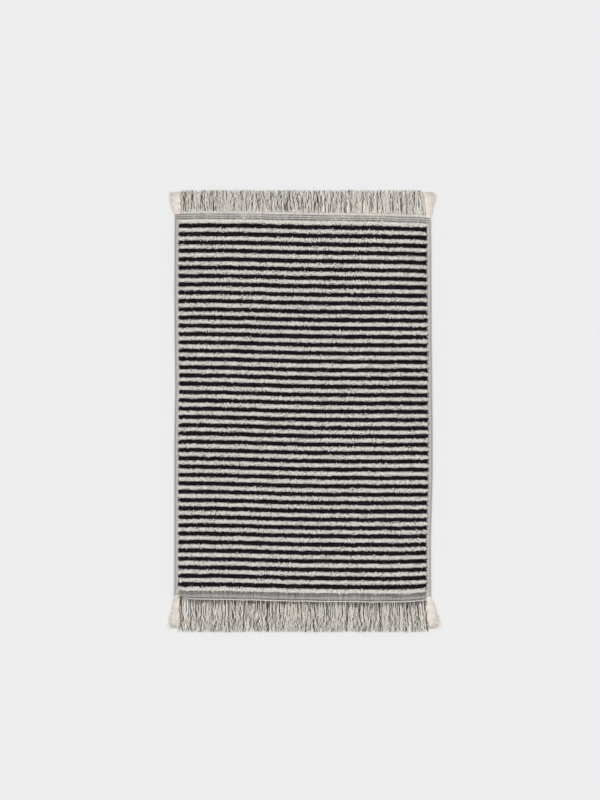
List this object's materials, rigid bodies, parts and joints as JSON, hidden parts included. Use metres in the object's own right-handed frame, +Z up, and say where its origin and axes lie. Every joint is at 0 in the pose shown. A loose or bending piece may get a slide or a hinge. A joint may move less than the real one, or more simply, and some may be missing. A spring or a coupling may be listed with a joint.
{
  "type": "bath mat",
  "caption": "Rectangular woven bath mat in looped terry with cross stripes, flat-woven edges, a fringe at each end and a tassel at each corner.",
  "frame": {"origin": "on the floor, under the middle of the whole mat with its fringes", "axes": "+X across the width to the right, +Y along the length towards the far end with the shorter fringe, +Z up out of the face"},
  "size_m": [0.638, 1.0262, 0.0089],
  "materials": {
    "dark_terry": "matte looped cotton, near-black",
    "cream_terry": "matte looped cotton, cream",
    "grey_flatweave": "matte flat weave of cream and dark yarns",
    "pale_weave": "matte flat weave, mostly cream yarn",
    "dark_yarn": "matte cotton thread, dark grey",
    "cream_yarn": "matte cotton thread, cream",
    "undyed_yarn": "soft undyed cotton, pinkish cream"
  },
  "bodies": {
    "root": {"ground_cloth": "grey_flatweave", "face_dark_stripes": "dark_terry", "face_cream_stripes": "cream_terry", "back_dark_stripes": "dark_terry", "back_cream_stripes": "cream_terry", "left_selvedge": "grey_flatweave", "right_selvedge": "grey_flatweave", "left_edge_cord": "dark_yarn", "right_edge_cord": "dark_yarn", "far_header": "grey_flatweave", "far_header_rib": "pale_weave", "far_header_line_1": "dark_yarn", "far_header_line_2": "dark_yarn", "far_header_line_3": "dark_yarn", "near_header": "grey_flatweave", "near_header_rib": "pale_weave", "near_header_line_1": "dark_yarn", "near_header_line_2": "dark_yarn", "far_fringe_cream_threads": "cream_yarn", "far_fringe_dark_threads": "dark_yarn", "near_fringe_cream_threads": "cream_yarn", "near_fringe_dark_threads": "dark_yarn", "far_left_tassel": "undyed_yarn", "far_right_tassel": "undyed_yarn", "near_left_tassel": "undyed_yarn", "near_right_tassel": "undyed_yarn"}
  },
  "joints": []
}
